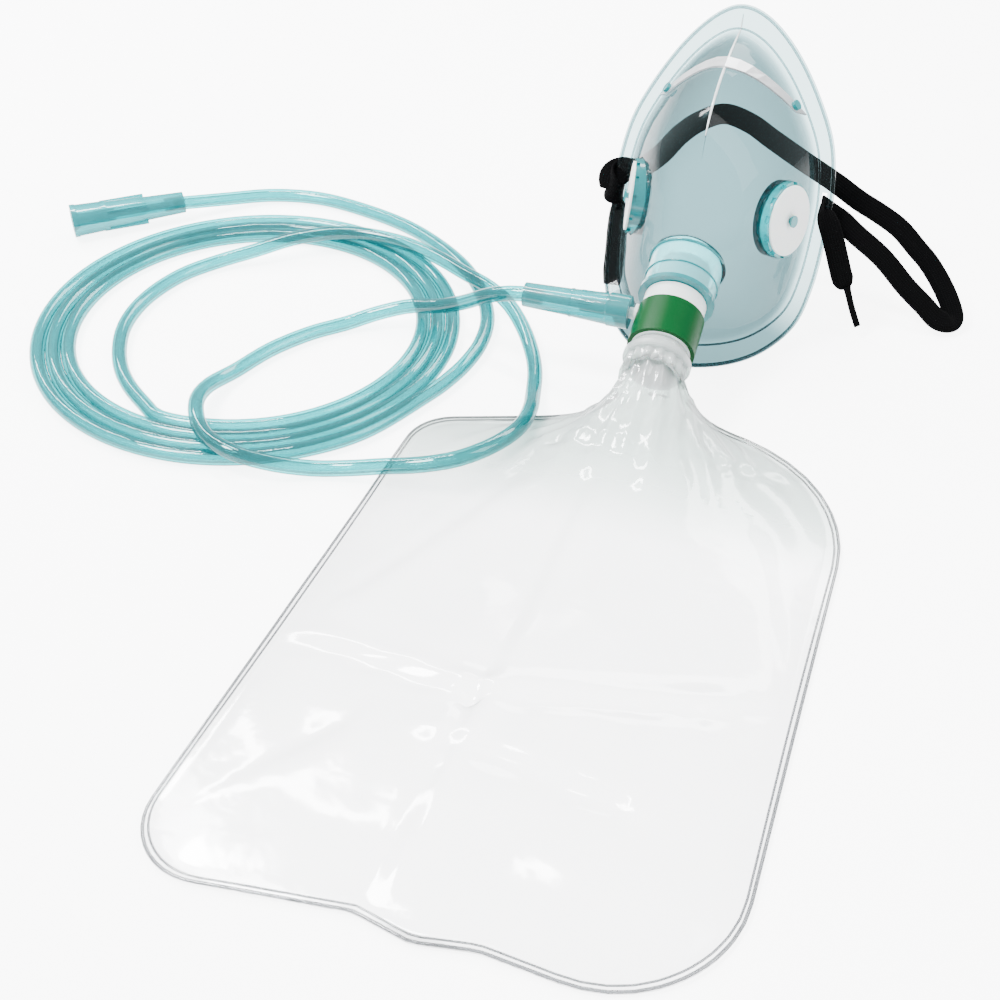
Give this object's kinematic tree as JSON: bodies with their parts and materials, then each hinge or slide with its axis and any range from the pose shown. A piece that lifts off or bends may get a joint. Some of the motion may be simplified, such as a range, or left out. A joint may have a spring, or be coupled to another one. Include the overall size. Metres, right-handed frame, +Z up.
{
  "type": "oxygen mask with reservoir bag",
  "caption": "Clear face mask with valves, nose clip and strap, on a swivelling connector with a flat reservoir bag and a coiled gas supply tube.",
  "frame": {"origin": "on the underside of the reservoir bag, in the mask's plane of symmetry", "axes": "+Z up from the surface that it lies on, +Y from the bag to the mask, +X to the side away from the supply tube"},
  "size_m": [0.4506, 0.4417, 0.1326],
  "materials": {
    "white_plastic": "satin",
    "green_plastic": "satin",
    "teal_plastic": "gloss",
    "tube_pvc": "gloss",
    "clear_pvc": "gloss",
    "pale_collar": "gloss",
    "bag_film": "gloss",
    "aluminium_strip": "satin",
    "black_elastic": "matte",
    "valve_disc": "satin"
  },
  "bodies": {
    "reservoir": {"connector_body": "white_plastic", "colour_band": "green_plastic", "inhale_valve_seat": "white_plastic", "inhale_valve_pin": "white_plastic", "bag_neck_ring": "white_plastic", "bag_retaining_band": "bag_film", "reservoir_bag": "bag_film"},
    "mask": {"mask_shell": "clear_pvc", "port_collar": "pale_collar", "collar_end_ring": "teal_plastic", "exhale_seat_left": "teal_plastic", "exhale_seat_right": "teal_plastic", "exhale_pin_left": "teal_plastic", "exhale_pin_right": "teal_plastic", "nose_clip": "aluminium_strip", "nose_clip_stud_left": "teal_plastic", "nose_clip_stud_right": "teal_plastic", "strap_band": "black_elastic", "strap_tip_right": "black_elastic", "strap_end_left": "black_elastic"},
    "supply_line": {"tube_plug": "teal_plastic", "supply_tube": "tube_pvc", "tube_coil": "tube_pvc", "supply_tube_tail": "tube_pvc", "source_connector": "teal_plastic"},
    "inhale_disc": {"inhale_flap": "valve_disc"},
    "exhale_disc_left": {"exhale_flap_left": "valve_disc"},
    "exhale_disc_right": {"exhale_flap_right": "valve_disc"}
  },
  "joints": [
    {"name": "mask_swivel", "type": "hinge", "parent": "reservoir", "child": "mask", "pos_m": [0, 0.15, 0.033], "axis": [0, 0.9511, 0.309], "continuous": true},
    {"name": "supply_plug_pull", "type": "slide", "parent": "reservoir", "child": "supply_line", "axis": [-1, 0, 0], "range_m": [0, 0.021]},
    {"name": "inhale_disc_lift", "type": "slide", "parent": "reservoir", "child": "inhale_disc", "axis": [0, 0.9511, 0.309], "range_m": [0, 0.0012], "stiffness_N_per_m": 8},
    {"name": "exhale_disc_left_lift", "type": "slide", "parent": "mask", "child": "exhale_disc_left", "axis": [-0.9703, -0.2193, 0.1022], "range_m": [0, 0.0012], "stiffness_N_per_m": 8},
    {"name": "exhale_disc_right_lift", "type": "slide", "parent": "mask", "child": "exhale_disc_right", "axis": [0.8988, -0.3973, 0.1853], "range_m": [0, 0.0012], "stiffness_N_per_m": 8}
  ]
}
